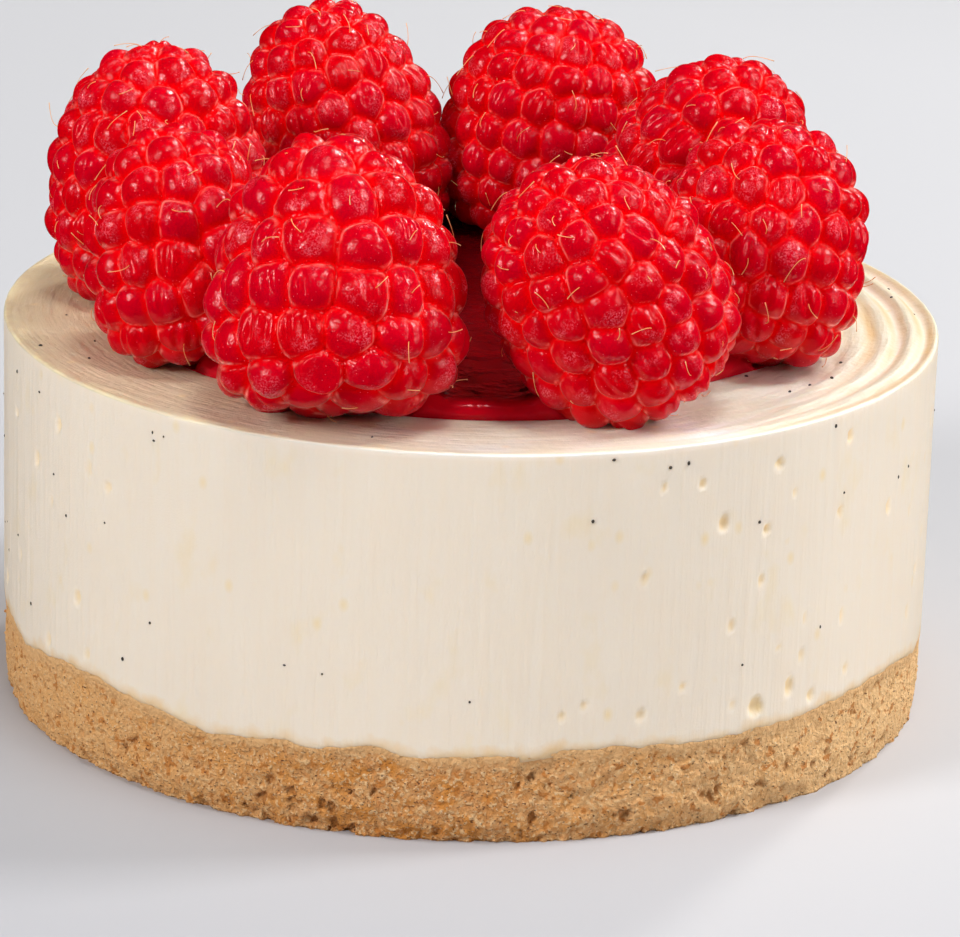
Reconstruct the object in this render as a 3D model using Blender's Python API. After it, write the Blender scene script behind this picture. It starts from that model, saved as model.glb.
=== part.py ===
"""A single-serving cheesecake: a biscuit crumb crust, a cream cheese filling, a pool of berry jam and eight raspberries.

Metres, +Z up. The origin is the centre of the underside of the crust, and -Y is the front of the cake.
"""

import math

import bmesh
import bpy
import numpy as np
from mathutils import Matrix, Vector

MM = 0.001

# The cake
CAKE_RADIUS = 42.5 * MM
CAKE_HEIGHT = 35.0 * MM
CRUST_HEIGHT = 8.1 * MM
CRUST_SETBACK = 0.3 * MM
GAP = 0.3 * MM
SEGMENTS = 72
INNER_RING = 0.6

# The uneven line between crust and filling: height of each wave, how many go round the cake, and its phase
CRUST_LINE = ((0.35 * MM, 8, 2.1), (0.25 * MM, 3, -0.6), (0.15 * MM, 19, -1.57))

# Crumbs missing from the crust: how deep they go, how far the bottom edge is broken, and the heights of the rings
CRUMB_DEPTH = 0.5 * MM
BROKEN_EDGE = 0.5 * MM
CRUMB_RINGS = (0.08, 0.35, 0.65)
CRUMB_SEED = 11

# Spatula ridges on the filling's top, which spread from the front rim to the right and the back
RIDGE_HEIGHT = 0.45 * MM
RIDGE_SPACING = 2.6 * MM
RIDGE_BAND = 6.5 * MM
RIDGE_WAY = 25
RIDGE_SWEEP = 62
RIDGE_MEETING_WAY = -80
RIDGE_CLOSEST = 0.45
RIDGE_TROUGH = 0.4
RIM_ROUNDING = 0.7 * MM
RIM_FLAT = 0.9 * MM
WALL_FOOT = 0.4 * MM

# The jam pool, whose edge runs under the berries
JAM_CENTRE_Y = -3.0 * MM
JAM_RADIUS = 28.6 * MM
JAM_THICKNESS = 1.5 * MM
JAM_WAVES = ((0.35 * MM, 5, -0.87), (0.3 * MM, 3, 0.0))
JAM_DRAWN_IN = 4.2 * MM
JAM_DRAWN_WAY = 26
JAM_DRAWN_SWEEP = 24
JAM_MIDDLE = 0.5

# The pool's round edge from the foot up: distance in from the outline, and share of the thickness
JAM_EDGE = ((0.3 * MM, 0.0), (0.0, 0.4), (0.35 * MM, 0.85), (1.1 * MM, 1.0))

# The space round each berry where there is no jam
JAM_CLEARANCE = 0.4 * MM
CUTTER_SEGMENTS = 20
CUTTER_ROWS = 9

# Drupelets: how far the creases lie under the crowns, and the share of a drupelet's width that its crown takes
CREASE_DEPTH = 1.25 * MM
CROWN_SHARE = 0.55

# Each berry: place of its middle, radius, half length, pitch of its drupelets in millimetres,
# then its lean from upright, the way that it leans and the turn about its own axis in degrees
RASPBERRIES = {
    "raspberry_left_back": (-29.4, 2.6, 9.8, 11.7, 4.6, 4, 113, 10),
    "raspberry_left": (-25.3, -16.4, 8.8, 10.9, 4.6, 20, 134, 25),
    "raspberry_front_left": (-11.9, -31.0, 10.6, 12.0, 5.3, 23, 124, 0),
    "raspberry_front_right": (10.6, -30.2, 10.2, 11.4, 4.4, 32, 202, 15),
    "raspberry_right": (25.8, -11.6, 9.4, 10.8, 4.5, 20, 77, 40),
    "raspberry_right_back": (20.6, 7.2, 9.1, 11.9, 4.5, 26, 339, 5),
    "raspberry_back": (7.6, 26.4, 10.3, 11.2, 4.5, 10, 55, 30),
    "raspberry_back_left": (-12.8, 23.6, 8.9, 11.7, 4.4, 22, 161, 50),
}
SINK = 0.6 * MM
TIP_NARROWING = 0.10
SHOULDER_POWER = 0.85
END_POWER = 0.9

# Rows of drupelets, as shares of the pitch: distance between rows, twist from row to row, and unevenness
ROW_SPACING = 0.88
ROW_TWIST = 0.35
UNEVENNESS = 0.16

CREAM_COLOUR = (0.86, 0.76, 0.62, 1.0)
CRUST_COLOUR = (0.56, 0.33, 0.14, 1.0)
JAM_COLOUR = (0.20, 0.002, 0.006, 1.0)
BERRY_COLOUR = (0.58, 0.012, 0.018, 1.0)


def clear_scene():
    for item in list(bpy.data.objects):
        bpy.data.objects.remove(item, do_unlink=True)


def finish_of(name, colour, roughness):
    material = bpy.data.materials.new(name)
    material.use_nodes = True
    shader = material.node_tree.nodes["Principled BSDF"]
    shader.inputs["Base Color"].default_value = colour
    shader.inputs["Roughness"].default_value = roughness
    shader.inputs["Metallic"].default_value = 0.0
    material.diffuse_color = colour
    return material


def add_object(name, mesh, material):
    mesh.materials.append(material)
    made = bpy.data.objects.new(name, mesh)
    bpy.context.scene.collection.objects.link(made)
    return made


def turned_solid(name, rings, low_centre, high_centre):
    """A closed mesh from rings of points, lowest first, with a fan of triangles at each end."""
    count = rings.shape[1]
    points = np.concatenate([rings.reshape(-1, 3), [low_centre], [high_centre]])
    low, high = len(points) - 2, len(points) - 1
    last = (len(rings) - 1) * count
    faces = []
    for segment in range(count):
        following = (segment + 1) % count
        faces.append((low, following, segment))
        faces.append((high, last + segment, last + following))
        for row in range(len(rings) - 1):
            base = row * count
            above = base + count
            faces.append((base + segment, base + following, above + following))
            faces.append((base + segment, above + following, above + segment))
    mesh = bpy.data.meshes.new(name)
    mesh.from_pydata(points.tolist(), [], faces)
    return mesh


def ring(radius, height, angles, centre_y=0.0):
    """One ring of points; radius and height are numbers or one value for each angle."""
    radius = np.broadcast_to(radius, angles.shape)
    height = np.broadcast_to(height, angles.shape)
    return np.stack([radius * np.cos(angles), radius * np.sin(angles) + centre_y, height], -1)


def waves_round(angles, waves):
    """Sum of waves round the cake, each its height times the cosine of its count times the angle plus its phase."""
    return sum(height * np.cos(count * angles + phase) for height, count, phase in waves)


def degrees_round(angles):
    """Angles as degrees from -180 to 180."""
    return np.degrees((angles + math.pi) % (2 * math.pi) - math.pi)


def crust_top(angles):
    """Height of the uneven line where the crust meets the filling, round the wall."""
    return CRUST_HEIGHT + waves_round(angles, CRUST_LINE)


def crust_top_rings(angles, lift):
    """The top of the crust at its edge and further in, where its waves are half as high, raised by lift."""
    edge = crust_top(angles) + lift
    inner = CRUST_HEIGHT + waves_round(angles, CRUST_LINE) / 2 + lift
    reach = CAKE_RADIUS - CRUST_SETBACK
    return ring(reach, edge, angles), ring(reach * INNER_RING, inner, angles)


def make_crust(material):
    """A pressed crumb disc. Its wall is crumbly and its underside is flat out to a broken edge."""
    angles = np.linspace(0, 2 * math.pi, SEGMENTS, endpoint=False)
    random = np.random.default_rng(CRUMB_SEED)
    wall = CAKE_RADIUS - CRUST_SETBACK
    rings = [ring(wall * INNER_RING, 0.0, angles)]
    rings.append(ring(wall - BROKEN_EDGE - CRUMB_DEPTH * random.random(SEGMENTS), 0.0, angles))
    for share in CRUMB_RINGS:
        missing = CRUMB_DEPTH * random.random(SEGMENTS) ** 2
        rings.append(ring(wall - missing, CRUST_HEIGHT * share, angles))
    edge, inner = crust_top_rings(angles, 0.0)
    rings += [edge, inner]
    mesh = turned_solid("crust", np.array(rings), (0, 0, 0), (0, 0, CRUST_HEIGHT))
    return add_object("crust", mesh, material)


def ridge_relief(radius, angles):
    """Height of the spatula ridges: waves across the outer band, strongest on the right and back of the cake."""
    inward = CAKE_RADIUS - radius
    turn = degrees_round(angles)
    strength = np.exp(-(((turn - RIDGE_WAY) / RIDGE_SWEEP) ** 2))
    opened = np.clip((turn - RIDGE_MEETING_WAY) / -RIDGE_MEETING_WAY, 0, 1)
    spread = RIDGE_CLOSEST + (1 - RIDGE_CLOSEST) * opened
    fade = np.exp(-((inward / RIDGE_BAND) ** 2))
    wave = np.cos(2 * math.pi * inward / (RIDGE_SPACING * spread)) - RIDGE_TROUGH
    return RIDGE_HEIGHT * strength * fade * wave


def make_filling(material):
    """The cream layer: a plain wall on the crust's uneven line, a rounded rim and a ridged top."""
    angles = np.linspace(0, 2 * math.pi, SEGMENTS, endpoint=False)
    edge, inner = crust_top_rings(angles, GAP)
    wall_foot = crust_top(angles) + GAP
    rings = [inner, edge]
    rings.append(ring(CAKE_RADIUS, wall_foot + WALL_FOOT, angles))
    rings.append(ring(CAKE_RADIUS, (wall_foot + CAKE_HEIGHT) / 2, angles))
    rings.append(ring(CAKE_RADIUS, CAKE_HEIGHT - RIM_ROUNDING, angles))
    inset = RIM_ROUNDING * (1 - math.sqrt(0.5))
    rings.append(ring(CAKE_RADIUS - inset, CAKE_HEIGHT - inset, angles))
    step = RIDGE_SPACING / 2
    for inward in (RIM_FLAT, step, 2 * step, 3 * step, 4 * step, 5 * step):
        radius = CAKE_RADIUS - inward
        rings.append(ring(radius, CAKE_HEIGHT + ridge_relief(radius, angles), angles))
    middle_foot = (0, 0, CRUST_HEIGHT + GAP)
    mesh = turned_solid("filling", np.array(rings), middle_foot, (0, 0, CAKE_HEIGHT))
    return add_object("filling", mesh, material)


def jam_outline(angles):
    """Radius of the pool round its own middle: drawn in beside the berry at the right back, and wavy elsewhere."""
    away = (degrees_round(angles) - JAM_DRAWN_WAY) / JAM_DRAWN_SWEEP
    return JAM_RADIUS + waves_round(angles, JAM_WAVES) - JAM_DRAWN_IN * np.exp(-(away**2))


def make_jam(material, cutters):
    """A flat pool with a round edge, cut round each berry that stands in it."""
    angles = np.linspace(0, 2 * math.pi, SEGMENTS, endpoint=False)
    outline = jam_outline(angles)
    foot = CAKE_HEIGHT + GAP
    rings = [ring(outline * JAM_MIDDLE, foot, angles, JAM_CENTRE_Y)]
    for inset, share in JAM_EDGE:
        height = foot + JAM_THICKNESS * share
        rings.append(ring(outline - inset, height, angles, JAM_CENTRE_Y))
    rings.append(ring(outline * JAM_MIDDLE, foot + JAM_THICKNESS, angles, JAM_CENTRE_Y))
    low = (0, JAM_CENTRE_Y, foot)
    high = (0, JAM_CENTRE_Y, foot + JAM_THICKNESS)
    jam = add_object("jam", turned_solid("jam", np.array(rings), low, high), material)
    for cutter in cutters:
        cut = jam.modifiers.new("round " + cutter.name, "BOOLEAN")
        cut.operation = "DIFFERENCE"
        cut.solver = "EXACT"
        cut.object = cutter
    return jam


def thimble(turn_down, radius, half_length):
    """Radius and height of the berry's outline, where turn_down runs from 0 at the tip to pi at the stem end."""
    across = radius * np.abs(np.sin(turn_down)) ** SHOULDER_POWER * (1 - TIP_NARROWING * np.cos(turn_down))
    along = half_length * np.sign(np.cos(turn_down)) * np.abs(np.cos(turn_down)) ** END_POWER
    return across, along


def drupelet_places(radius, half_length, pitch, seed):
    """Rows of drupelets from the tip down, each row shifted half a step from the last: turn_down and angle for each."""
    random = np.random.default_rng(seed)
    turn_down = np.linspace(0, math.pi, 400)
    across, along = thimble(turn_down, radius, half_length)
    path = np.concatenate([[0], np.cumsum(np.hypot(np.diff(across), np.diff(along)))])
    row_count = round(path[-1] / (pitch * ROW_SPACING))
    places = []
    phase = 0.0
    for row in range(row_count):
        middle = (row + 0.5) * path[-1] / row_count
        reach = np.interp(middle, path, across)
        count = max(3, round(2 * math.pi * reach / pitch))
        step = 2 * math.pi / count
        phase += step / 2 + ROW_TWIST * step * random.random()
        for index in range(count):
            slid = middle + pitch * UNEVENNESS * random.uniform(-1, 1)
            angle = phase + step * (index + UNEVENNESS * random.uniform(-1, 1))
            places.append((float(np.interp(slid, path, turn_down)), angle))
    return places


def directions_of(places, radius, half_length):
    """Unit vectors from the middle of the berry to points on its outline."""
    turn_down, angle = np.array(places).T
    across, along = thimble(turn_down, radius, half_length)
    points = np.stack([across * np.cos(angle), across * np.sin(angle), along], -1)
    return points / np.linalg.norm(points, axis=1, keepdims=True)


def outline_reach(directions, radius, half_length):
    """Distance from the middle of the berry to its outline along each direction."""
    turn_down = np.linspace(0, math.pi, 800)
    across, along = thimble(turn_down, radius, half_length)
    polar = np.arctan2(across, along)
    mine = np.arccos(np.clip(directions[:, 2], -1, 1))
    return np.interp(mine, polar, np.hypot(across, along))


def hull_triangles(directions):
    """Triangles between neighbouring directions on the unit sphere."""
    shell = bmesh.new()
    for direction in directions:
        shell.verts.new(Vector(direction))
    shell.verts.index_update()
    bmesh.ops.convex_hull(shell, input=list(shell.verts))
    bmesh.ops.triangulate(shell, faces=list(shell.faces))
    found = [tuple(vertex.index for vertex in face.verts) for face in shell.faces]
    shell.free()
    return found


def unit(vectors):
    return vectors / np.linalg.norm(vectors, axis=-1, keepdims=True)


def cell_corners(crowns):
    """For each drupelet, the directions of the corners that it shares with its neighbours, in order round it."""
    triangles = np.array(hull_triangles(crowns))
    corners = unit(crowns[triangles].sum(axis=1))
    cells = []
    for index, crown in enumerate(crowns):
        mine = np.nonzero((triangles == index).any(axis=1))[0]
        side = unit(np.cross(crown, crown[[1, 2, 0]]))
        across = np.cross(crown, side)
        offsets = corners[mine] - crown
        cells.append(mine[np.argsort(np.arctan2(offsets @ across, offsets @ side))])
    return corners, cells


def berry_shell(radius, half_length, pitch, seed):
    """Points and faces of a berry upright about its middle.

    Each drupelet is a flat crown with sloping sides, which meet its neighbours' in a crease.
    """
    crowns = directions_of(drupelet_places(radius, half_length, pitch, seed), radius, half_length)
    corners, cells = cell_corners(crowns)
    reach = outline_reach(corners, radius, half_length) - CREASE_DEPTH
    points = list(corners * reach[:, None])
    faces = []
    for crown, cell in zip(crowns, cells):
        first = len(points)
        count = len(cell)
        rim = unit(crown + (corners[cell] - crown) * CROWN_SHARE)
        points += list(rim * outline_reach(rim, radius, half_length)[:, None])
        faces.append(list(range(first, first + count)))
        for index in range(count):
            after = (index + 1) % count
            faces.append((first + index, cell[index], cell[after], first + after))
    return np.array(points), [[int(number) for number in face] for face in faces]


def berry_matrix(x, y, lean, way, turn):
    """Turns the berry about its own axis, leans it, and puts its middle over x and y."""
    tip = Matrix.Rotation(math.radians(way), 4, "Z") @ Matrix.Rotation(math.radians(lean), 4, "Y")
    upright = Matrix.Rotation(math.radians(turn - way), 4, "Z")
    return Matrix.Translation((x * MM, y * MM, 0)) @ tip @ upright


def smooth_height(radius, half_length, turned):
    """Lowest point of the leaning outline under its middle."""
    turn_down = np.linspace(0, math.pi, 200)
    across, along = thimble(turn_down, radius, half_length)
    tilt = math.acos(max(-1.0, min(1.0, turned[2][2])))
    return float((along * math.cos(tilt) - across * math.sin(tilt)).min())


def placed_matrix(numbers):
    """Leans a berry and stands it with its lowest point SINK below the top of the filling."""
    x, y, radius, half_length, _, lean, way, turn = numbers
    turned = berry_matrix(x, y, lean, way, turn)
    rise = CAKE_HEIGHT - SINK - smooth_height(radius * MM, half_length * MM, turned)
    return Matrix.Translation((0, 0, rise)) @ turned


def joined_faces(start):
    """The faces that can be reached from one face across shared edges."""
    found = {start}
    front = [start]
    while front:
        face = front.pop()
        for edge in face.edges:
            for other in edge.link_faces:
                if other not in found:
                    found.add(other)
                    front.append(other)
    return found


def flatten_under(mesh, height):
    """Cuts the mesh level at height and closes it there, over any crease that stays above the cut."""
    shell = bmesh.new()
    shell.from_mesh(mesh)
    parts = list(shell.verts) + list(shell.edges) + list(shell.faces)
    bmesh.ops.bisect_plane(
        shell, geom=parts, dist=1e-7, plane_co=(0, 0, height), plane_no=(0, 0, 1), clear_inner=True
    )
    highest = max(shell.faces, key=lambda face: face.calc_center_median().z)
    kept = joined_faces(highest)
    loose = [face for face in shell.faces if face not in kept]
    bmesh.ops.delete(shell, geom=loose, context="FACES")
    rim = [edge for edge in shell.edges if edge.is_boundary]
    bmesh.ops.holes_fill(shell, edges=rim, sides=0)
    bmesh.ops.triangulate(shell, faces=list(shell.faces))
    bmesh.ops.recalc_face_normals(shell, faces=list(shell.faces))
    shell.to_mesh(mesh)
    shell.free()


def make_raspberry(name, numbers, seed, material):
    """A lumpy berry that rests on the filling with a level spot."""
    radius, half_length, pitch = (value * MM for value in numbers[2:5])
    points, faces = berry_shell(radius, half_length, pitch, seed)
    mesh = bpy.data.meshes.new(name)
    mesh.from_pydata(points.tolist(), [], faces)
    mesh.transform(placed_matrix(numbers))
    flatten_under(mesh, CAKE_HEIGHT + GAP)
    return add_object(name, mesh, material)


def make_cutter(name, numbers):
    """The berry's plain outline made slightly larger, which cuts the jam."""
    radius, half_length = (value * MM + JAM_CLEARANCE for value in numbers[2:4])
    angles = np.linspace(0, 2 * math.pi, CUTTER_SEGMENTS, endpoint=False)
    rings = []
    for turn_down in np.linspace(math.pi, 0, CUTTER_ROWS + 2)[1:-1]:
        across, along = thimble(turn_down, radius, half_length)
        rings.append(ring(across, along, angles))
    mesh = turned_solid(name, np.array(rings), (0, 0, -half_length), (0, 0, half_length))
    mesh.transform(placed_matrix(numbers))
    cutter = bpy.data.objects.new(name, mesh)
    bpy.context.scene.collection.objects.link(cutter)
    cutter.hide_render = True
    cutter.display_type = "WIRE"
    return cutter


def main():
    clear_scene()
    cream = finish_of("cream", CREAM_COLOUR, 0.45)
    biscuit = finish_of("biscuit", CRUST_COLOUR, 0.85)
    jam_finish = finish_of("jam", JAM_COLOUR, 0.12)
    berry_finish = finish_of("raspberry", BERRY_COLOUR, 0.4)
    make_crust(biscuit)
    make_filling(cream)
    cutters = []
    for seed, (name, numbers) in enumerate(RASPBERRIES.items(), start=1):
        make_raspberry(name, numbers, seed, berry_finish)
        cutters.append(make_cutter("clearance_" + name, numbers))
    make_jam(jam_finish, cutters)


main()
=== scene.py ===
"""The looks of a single-serving cheesecake: crumb crust, cream filling, jam pool and eight raspberries.

Metres, +Z up. The front of the cake is towards -Y, and the origin is the centre of its underside.
"""

import math

import bpy
import numpy as np
from mathutils import Matrix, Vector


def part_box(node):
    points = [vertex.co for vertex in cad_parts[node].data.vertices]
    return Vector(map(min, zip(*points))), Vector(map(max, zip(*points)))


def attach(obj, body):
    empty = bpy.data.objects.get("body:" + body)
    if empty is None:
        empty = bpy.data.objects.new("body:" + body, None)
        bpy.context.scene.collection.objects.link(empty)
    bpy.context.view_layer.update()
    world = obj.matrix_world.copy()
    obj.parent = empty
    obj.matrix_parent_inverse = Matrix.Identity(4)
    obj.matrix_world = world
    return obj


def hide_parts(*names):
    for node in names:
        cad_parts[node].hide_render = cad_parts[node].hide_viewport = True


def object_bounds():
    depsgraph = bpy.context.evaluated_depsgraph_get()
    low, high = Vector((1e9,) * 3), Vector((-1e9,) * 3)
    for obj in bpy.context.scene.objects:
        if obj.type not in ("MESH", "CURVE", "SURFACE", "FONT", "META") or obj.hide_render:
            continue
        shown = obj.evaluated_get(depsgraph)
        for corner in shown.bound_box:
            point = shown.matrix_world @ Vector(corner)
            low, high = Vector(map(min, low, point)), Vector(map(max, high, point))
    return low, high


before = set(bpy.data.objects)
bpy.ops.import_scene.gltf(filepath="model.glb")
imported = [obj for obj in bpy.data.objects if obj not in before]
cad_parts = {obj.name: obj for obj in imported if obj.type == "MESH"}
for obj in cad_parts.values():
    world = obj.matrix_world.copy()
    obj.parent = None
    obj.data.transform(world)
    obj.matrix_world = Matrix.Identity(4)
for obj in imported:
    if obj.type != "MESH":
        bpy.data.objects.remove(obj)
solid_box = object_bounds()

MM = 0.001

# The cake
CAKE_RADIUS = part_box("filling")[1][0]
CAKE_HEIGHT = 35.0 * MM

# Height in millimetres of the line between crust and cream, at angles round the cake in degrees
CRUST_LINE = (
    (-163, 8.5), (-157, 7.4), (-148, 8.5), (-140, 9.1), (-127, 8.2), (-120, 7.4), (-110, 8.2),
    (-106, 7.8), (-100, 8.6), (-96, 7.9), (-87, 8.2), (-78, 8.6), (-69, 8.6), (-60, 8.2),
    (-47, 8.3), (-36, 8.8), (-24, 8.7), (-13, 7.1), (5, 7.4), (25, 8.4), (60, 8.0), (95, 8.5),
    (130, 7.8), (165, 8.3),
)
LINE_UNEVENNESS = 0.8

# How far cream and crust lean in behind each other for each millimetre past the line, from how far before
# it, how far each runs past it, and how far in its hidden faces start
JOINT_LEAN = 0.28
JOINT_START = 0.1 * MM
JOINT_OVERLAP = 0.6 * MM
HIDDEN_INSET = 1.2 * MM

# The wall of cream and crust: how far it stands in from the full radius, its slow waves and its streaks
WALL_INSET = 0.12 * MM
WALL_WAVES = 0.16 * MM
WALL_STREAKS = 0.07 * MM

# Columns of a turned grid stand closer together at the front, by this share
FRONT = math.radians(-90)
FRONT_CROWDING = 0.3

# Crust
CRUST_COLUMNS = 1500
CRUST_WALL_ROWS = 50
CRUST_SEED = 21

# Crumbs: their size, then how far each part of the relief reaches in, all in millimetres
CRUMB_SIZE = 0.95
FINE_CRUMB_SIZE = 0.38
CRUMB_DEPTH = 0.20
FINE_CRUMB_DEPTH = 0.18
MISSING_DEPTH = 0.5
SLOW_DEPTH = 0.3
GRAIN_DEPTH = 0.25

# The crust's broken bottom edge: depth, height in millimetres and how much weaker it is at the sides
BROKEN_DEPTH = 0.9 * MM
BROKEN_HEIGHT = 1.3
BROKEN_CALM = 0.75

# The crust's relief: its share at the line, the height over which it grows, and how much weaker it is
# at the sides
RELIEF_LEAST = 0.12
RELIEF_GROWTH = 1.6 * MM
RELIEF_CALM = 0.4

# Filling
CREAM_COLUMNS = 760
CREAM_WALL_ROWS = 80
RIM_ROWS = 5
CREAM_TOP_ROWS = 36
CREAM_TOP_BAND = 18 * MM
RIM_ROUNDING = 0.28 * MM
RIDGE_HEIGHT = 0.45 * MM
RIDGE_SPACING = 2.6 * MM
RIDGE_BAND = 6.5 * MM
RIDGE_WAY = 25
RIDGE_SWEEP = 62
RIDGE_MEETING_WAY = -80
RIDGE_CLOSEST = 0.45
RIDGE_TROUGH = 0.4
TOP_STROKES = 0.10 * MM
TOP_WAVES = 0.25 * MM

# Jam
JAM_CENTRE_Y = -3.7 * MM
JAM_RADIUS = 29.8 * MM
JAM_THICKNESS = 1.5 * MM
JAM_WAVES = ((0.35 * MM, 5, -0.87), (0.3 * MM, 3, 0.0))

# Places where the pool reaches further out or less far: direction and width in degrees, and how far in mm
JAM_REACHES = ((26, 24, -4.2), (95, 9, 6.0), (-40, 17, -2.8), (-125, 14, -1.4))

# The pool's round edge, how high it climbs at a berry and how near, its slow and fine unevenness, and
# the film that is left under a berry
JAM_EDGE = 1.1 * MM
JAM_CLIMB = 0.55 * MM
JAM_CLIMB_WIDTH = 0.5 * MM
JAM_SLOW = 0.12 * MM
JAM_FINE = 0.25 * MM
JAM_FILM = 0.04 * MM
JAM_COLUMNS = 420
JAM_ROWS = 110
JAM_ROW_POWER = 1.15

# Raspberries: place of the middle, radius, half length and pitch of the drupelets, in millimetres, how
# uneven they are and how much narrower the tip is than the middle, then the lean from upright, the way
# that the berry leans and the turn about its own axis in degrees
RASPBERRIES = {
    "raspberry_left_back": (-28.9, 2.6, 9.95, 11.9, 3.9, 0.5, 0.16, 4.5, 124, 10),
    "raspberry_left": (-25.2, -16.5, 8.7, 10.6, 4.1, 0.5, 0.18, 20, 134, 25),
    "raspberry_front_left": (-11.5, -30.5, 10.8, 12.0, 4.7, 0.7, 0.22, 19, 96, 0),
    "raspberry_front_right": (10.9, -29.3, 10.1, 11.4, 3.75, 0.45, 0.10, 32, 202, 15),
    "raspberry_right": (25.5, -11.6, 9.3, 10.9, 3.8, 0.45, 0.06, 20.5, 75, 40),
    "raspberry_right_back": (20.9, 7.2, 9.1, 11.9, 3.8, 0.4, 0.08, 27, 340, 5),
    "raspberry_back": (7.0, 26.4, 10.5, 11.4, 3.6, 0.4, 0.08, 10.8, 45, 30),
    "raspberry_back_left": (-12.9, 23.6, 9.4, 11.8, 3.7, 0.4, 0.14, 20.6, 160, 50),
}
BERRY_COLUMNS = 380
BERRY_ROWS = 190

# Outline: how deep a berry sinks in, the powers that make it blunt, and the narrowing that sets its foot
SINK = 0.6 * MM
SHOULDER_POWER = 0.85
BASE_POWER = 0.52
END_POWER = 0.9
FOOT_NARROWING = 0.10

# Rows of drupelets, and drupelets in shares of their pitch. The loose values say how far one may differ
# from the rule, and all but the tilt are for a berry whose unevenness is 1
ROW_SPACING = 0.88
ROW_TWIST = 0.35
DRUPELET_WIDE = 0.5
DRUPELET_TALL = 0.52
LOOSE_PLACE = 0.30
LOOSE_SIZE = 0.22
LOOSE_LIFT = 0.12
LOOSE_TILT = 0.10

# Lobes: relief in shares of the pitch, then folds and the band for the painted sheen outlines
EDGE_DEPTH = 0.13
DOME_DEPTH = 0.15
CORNER_SOFTNESS = 0.10
FOLD_SHARE = 0.6
FOLD_DEPTHS = (0.07, 0.15)
FOLD_WIDTH = 0.19
FOLD_SPREAD = 0.33
TWO_FOLDS_SHARE = 0.25
SHEEN_OUTLINE_PLACE = 0.12
SHEEN_OUTLINE_WIDTH = 0.045
SWELL = 0.12 * MM
LOBE_GRAIN = 0.10 * MM


# Arrays

def unit(vectors):
    """Vectors divided by their lengths."""
    return vectors / np.linalg.norm(vectors, axis=-1, keepdims=True)


def eased(value, low, high):
    """0 below low, 1 above high, and the smooth step 3t^2 - 2t^3 between."""
    share = np.clip((value - low) / (high - low), 0, 1)
    return share * share * (3 - 2 * share)


def waves_round(angles, waves):
    """Sum of waves, each its height times the cosine of its count times the angle plus its phase."""
    return sum(height * np.cos(count * angles + phase) for height, count, phase in waves)


def degrees_round(angles):
    """Angles as degrees from -180 to 180."""
    return np.degrees((angles + math.pi) % (2 * math.pi) - math.pi)


def hashed(cells, seed):
    """A number from 0 to 1 for each cell, by multiplying with large odd numbers and mixing bits."""
    mixed = cells[..., 0] * 374761393 + cells[..., 1] * 668265263
    mixed = mixed + cells[..., 2] * 2147483647 + seed * 1274126177
    mixed = (mixed ^ (mixed >> 13)) * 1103515245
    mixed = (mixed ^ (mixed >> 15)) * 12820163
    return ((mixed ^ (mixed >> 16)) & 0xFFFFFF) / float(0xFFFFFF)


def value_noise(points, seed):
    """Smooth noise from 0 to 1: the numbers of the eight cells round a point, mixed by where it stands."""
    whole = np.floor(points).astype(np.int64)
    part = points - whole
    part = part * part * (3 - 2 * part)
    total = 0.0
    for corner in np.ndindex(2, 2, 2):
        weight = np.where(np.array(corner) == 1, part, 1 - part).prod(axis=-1)
        total = total + weight * hashed(whole + np.array(corner), seed)
    return total


def layered_noise(points, seed, layers=3):
    """Noise from 0 to 1, the sum of layers that are each twice as fine and half as strong as the last."""
    total = sum(value_noise(points * 2**layer, seed + layer) / 2**layer for layer in range(layers))
    return total / (2 - 2 ** (1 - layers))


def nearest_lump(points, seed):
    """Distances to the nearest and the next of one seed point a cell, and the nearest's number."""
    whole = np.floor(points).astype(np.int64)
    nearest = np.full(points.shape[:-1], 9.0)
    second = nearest.copy()
    number = nearest.copy()
    for step in np.ndindex(3, 3, 3):
        cell = whole + np.array(step) - 1
        place = np.stack([hashed(cell, seed + axis) for axis in range(3)], -1)
        distance = np.linalg.norm(cell + place - points, axis=-1)
        closer = distance < nearest
        second = np.where(closer, nearest, np.minimum(second, distance))
        number = np.where(closer, hashed(cell, seed + 7), number)
        nearest = np.minimum(nearest, distance)
    return nearest, second, number


# Meshes

def mesh_piece(name, points, quads, triangles, material, values=None):
    """A smooth-shaded piece from arrays of points and faces, with an attribute for each entry of values."""
    mesh = bpy.data.meshes.new(name)
    corners = np.concatenate([quads.ravel(), triangles.ravel()]).astype(np.int32)
    starts = np.concatenate([np.arange(len(quads)) * 4, len(quads) * 4 + np.arange(len(triangles)) * 3])
    mesh.vertices.add(len(points))
    mesh.vertices.foreach_set("co", np.ascontiguousarray(points, dtype=np.float32).ravel())
    mesh.loops.add(len(corners))
    mesh.loops.foreach_set("vertex_index", corners)
    mesh.polygons.add(len(starts))
    mesh.polygons.foreach_set("loop_start", starts.astype(np.int32))
    mesh.update(calc_edges=True)
    mesh.shade_smooth()
    for label, value in (values or {}).items():
        kind, field = ("FLOAT_VECTOR", "vector") if value.ndim == 2 else ("FLOAT", "value")
        stored = mesh.attributes.new(label, kind, "POINT")
        stored.data.foreach_set(field, np.ascontiguousarray(value, dtype=np.float32).ravel())
    mesh.materials.append(material)
    piece = bpy.data.objects.new(name, mesh)
    bpy.context.scene.collection.objects.link(piece)
    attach(piece, "root")
    return piece


def turned_faces(rows, columns):
    """Quads between neighbouring rings, lowest ring first, and a fan of triangles at each end."""
    number = np.arange(rows * columns).reshape(rows, columns)
    after = np.roll(number, -1, axis=1)
    quads = np.stack([number[:-1], after[:-1], after[1:], number[1:]], -1).reshape(-1, 4)
    low = np.full(columns, rows * columns)
    high = low + 1
    first_fan = np.stack([low, after[0], number[0]], -1)
    last_fan = np.stack([high, number[-1], after[-1]], -1)
    return quads, np.concatenate([first_fan, last_fan])


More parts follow.
